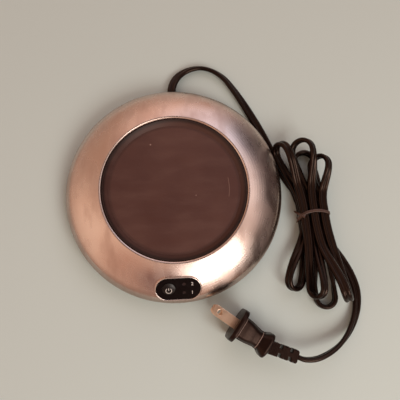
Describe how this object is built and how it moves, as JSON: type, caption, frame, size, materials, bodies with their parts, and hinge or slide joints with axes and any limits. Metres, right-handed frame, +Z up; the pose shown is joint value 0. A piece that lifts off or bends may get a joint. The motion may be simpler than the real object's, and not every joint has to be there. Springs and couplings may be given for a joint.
{
  "type": "electric mug warmer",
  "caption": "Round electric mug warmer: dished hot plate in a domed brushed metal cover, push-button panel at the front, flat mains cord folded in a tied hank, flat-blade plug.",
  "frame": {"origin": "bottom centre of the warmer, at the undersides of its rubber feet, on the axis of the hot plate", "axes": "+Z up, -Y towards the control panel, +Y towards the cord outlet, +X to the right of a user who faces the panel, where the tied cord lies"},
  "size_m": [0.1883, 0.2009, 0.0251],
  "materials": {
    "brushed_cover": "brushed",
    "coated_plate": "satin non-stick coat",
    "silicone": "matt",
    "carrier_plastic": "matt",
    "mica": "matt",
    "fibre": "matt",
    "zinc_steel": "satin",
    "screw_steel": "satin",
    "fuse_case": "satin",
    "sensor_epoxy": "matt",
    "white_wire": "satin",
    "grey_wire": "satin",
    "black_base": "fine grain",
    "foot_rubber": "matt",
    "panel_gloss": "gloss",
    "button_black": "satin gloss",
    "white_plastic": "satin",
    "light_window": "gloss",
    "lamp_epoxy": "gloss",
    "board_green": "satin",
    "capacitor_case": "gloss",
    "chip_black": "matt",
    "cord_black": "satin",
    "tie_brown": "satin",
    "plug_black": "fine grain",
    "blade_metal": "polished"
  },
  "bodies": {
    "warmer": {"top_cover": "brushed_cover", "warming_plate": "coated_plate", "plate_seal": "silicone", "plate_carrier": "carrier_plastic", "heater_disc": "mica", "heater_insulation": "fibre", "heater_clamp": "zinc_steel", "clamp_screws": "screw_steel", "thermal_fuse": "fuse_case", "temperature_sensor": "sensor_epoxy", "heater_leads": "white_wire", "base_pan": "black_base", "base_screws": "screw_steel", "rubber_feet": "foot_rubber", "control_panel": "panel_gloss", "switch_case": "zinc_steel", "light_pipes": "light_window", "indicator_lamps": "lamp_epoxy", "control_board": "board_green", "board_screws": "screw_steel", "signal_leads": "grey_wire", "main_board": "board_green", "main_board_screws": "screw_steel", "dropper_capacitor": "capacitor_case", "triac": "chip_black", "cord_bushing": "black_base", "cord_clamp": "black_base", "cord_clamp_screws": "screw_steel", "mains_leads": "cord_black", "cord_lead": "cord_black", "cord_hank": "cord_black", "cord_tail": "cord_black", "cord_tie": "tie_brown", "plug_body": "plug_black", "plug_strain_relief": "plug_black", "plug_blades": "blade_metal"},
    "button": {"power_button": "button_black", "switch_plunger": "white_plastic"}
  },
  "joints": [
    {"name": "button_press", "type": "slide", "parent": "warmer", "child": "button", "axis": [0, 0.5087, -0.861], "range_m": [0, 0.0004], "stiffness_N_per_m": 1500, "springref_m": -0.0008}
  ]
}
